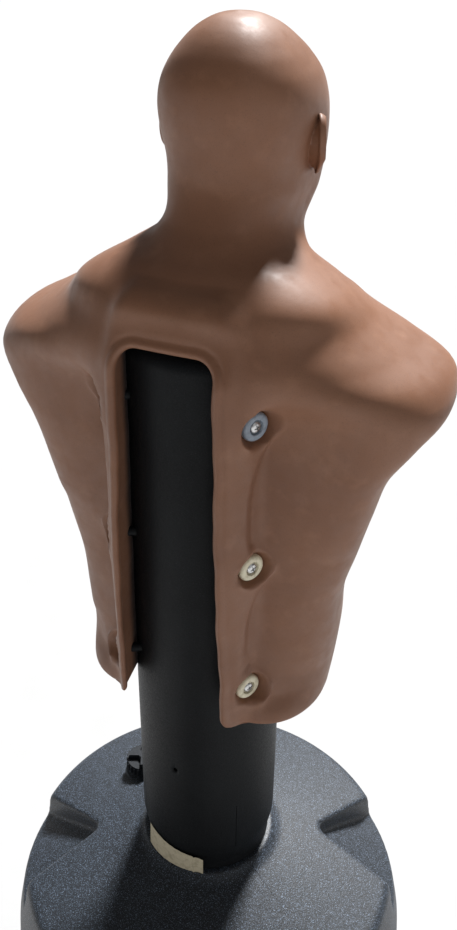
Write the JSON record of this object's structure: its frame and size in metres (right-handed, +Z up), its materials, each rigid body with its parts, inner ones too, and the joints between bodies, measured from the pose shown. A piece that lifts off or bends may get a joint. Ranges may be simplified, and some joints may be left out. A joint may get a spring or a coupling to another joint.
{
  "type": "body opponent mannequin",
  "caption": "Free-standing body opponent mannequin: a soft head and torso open down the back over a black column, height-adjustable on a round water-filled base.",
  "frame": {"origin": "centre of the base's underside, on the axis of the column", "axes": "+Z up, +Y out of the figure's back, +X to the figure's left; the figure faces -Y"},
  "size_m": [0.6099, 0.61, 1.4826],
  "materials": {
    "base_plastic": "rotomoulded polyethylene, pebbled",
    "water": "clear water",
    "cap_plastic": "moulded, satin",
    "seal_rubber": "smooth",
    "post_plastic": "extruded, satin",
    "ring_plastic": "nylon, natural",
    "column_plastic": "blow-moulded polyethylene, fine grain",
    "vinyl_skin": "soft vinyl, fine matt grain",
    "foam": "cut polyurethane foam",
    "grey_washer": "moulded nylon",
    "ivory_washer": "moulded nylon",
    "plated_steel": "bright zinc plated",
    "insert_brass": "turned"
  },
  "bodies": {
    "base": {"base_tank": "base_plastic", "water_ballast": "water"},
    "cap_seal": {"cap_seal": "seal_rubber"},
    "cap": {"fill_cap": "cap_plastic"},
    "post": {"inner_post": "post_plastic", "guide_ring": "ring_plastic"},
    "figure": {"column": "column_plastic", "torso_skin": "vinyl_skin", "foam_core": "foam", "upper_washers": "grey_washer", "middle_washers": "ivory_washer", "lower_washers": "ivory_washer", "upper_bolts": "plated_steel", "middle_bolts": "plated_steel", "lower_bolts": "plated_steel", "upper_inserts": "insert_brass", "middle_inserts": "insert_brass", "lower_inserts": "insert_brass"}
  },
  "joints": [
    {"name": "turn", "type": "hinge", "parent": "base", "child": "post", "pos_m": [0, 0, 0.006], "axis": [0, 0, 1], "continuous": true},
    {"name": "height", "type": "slide", "parent": "post", "child": "figure", "axis": [0, 0, 1], "range_m": [0, 0.4572]},
    {"name": "cap_lift", "type": "slide", "parent": "base", "child": "cap_seal", "axis": [0, 0, 1], "range_m": [0, 0.0121]},
    {"name": "cap_turn", "type": "hinge", "parent": "cap_seal", "child": "cap", "pos_m": [0.1456, -0.071, 0.36], "axis": [0, 0, 1], "range_deg": [0, 1080]}
  ],
  "couplings": [
    {"joint": "cap_lift", "follows": "cap_turn", "m_per_rad": 0.00063662}
  ]
}
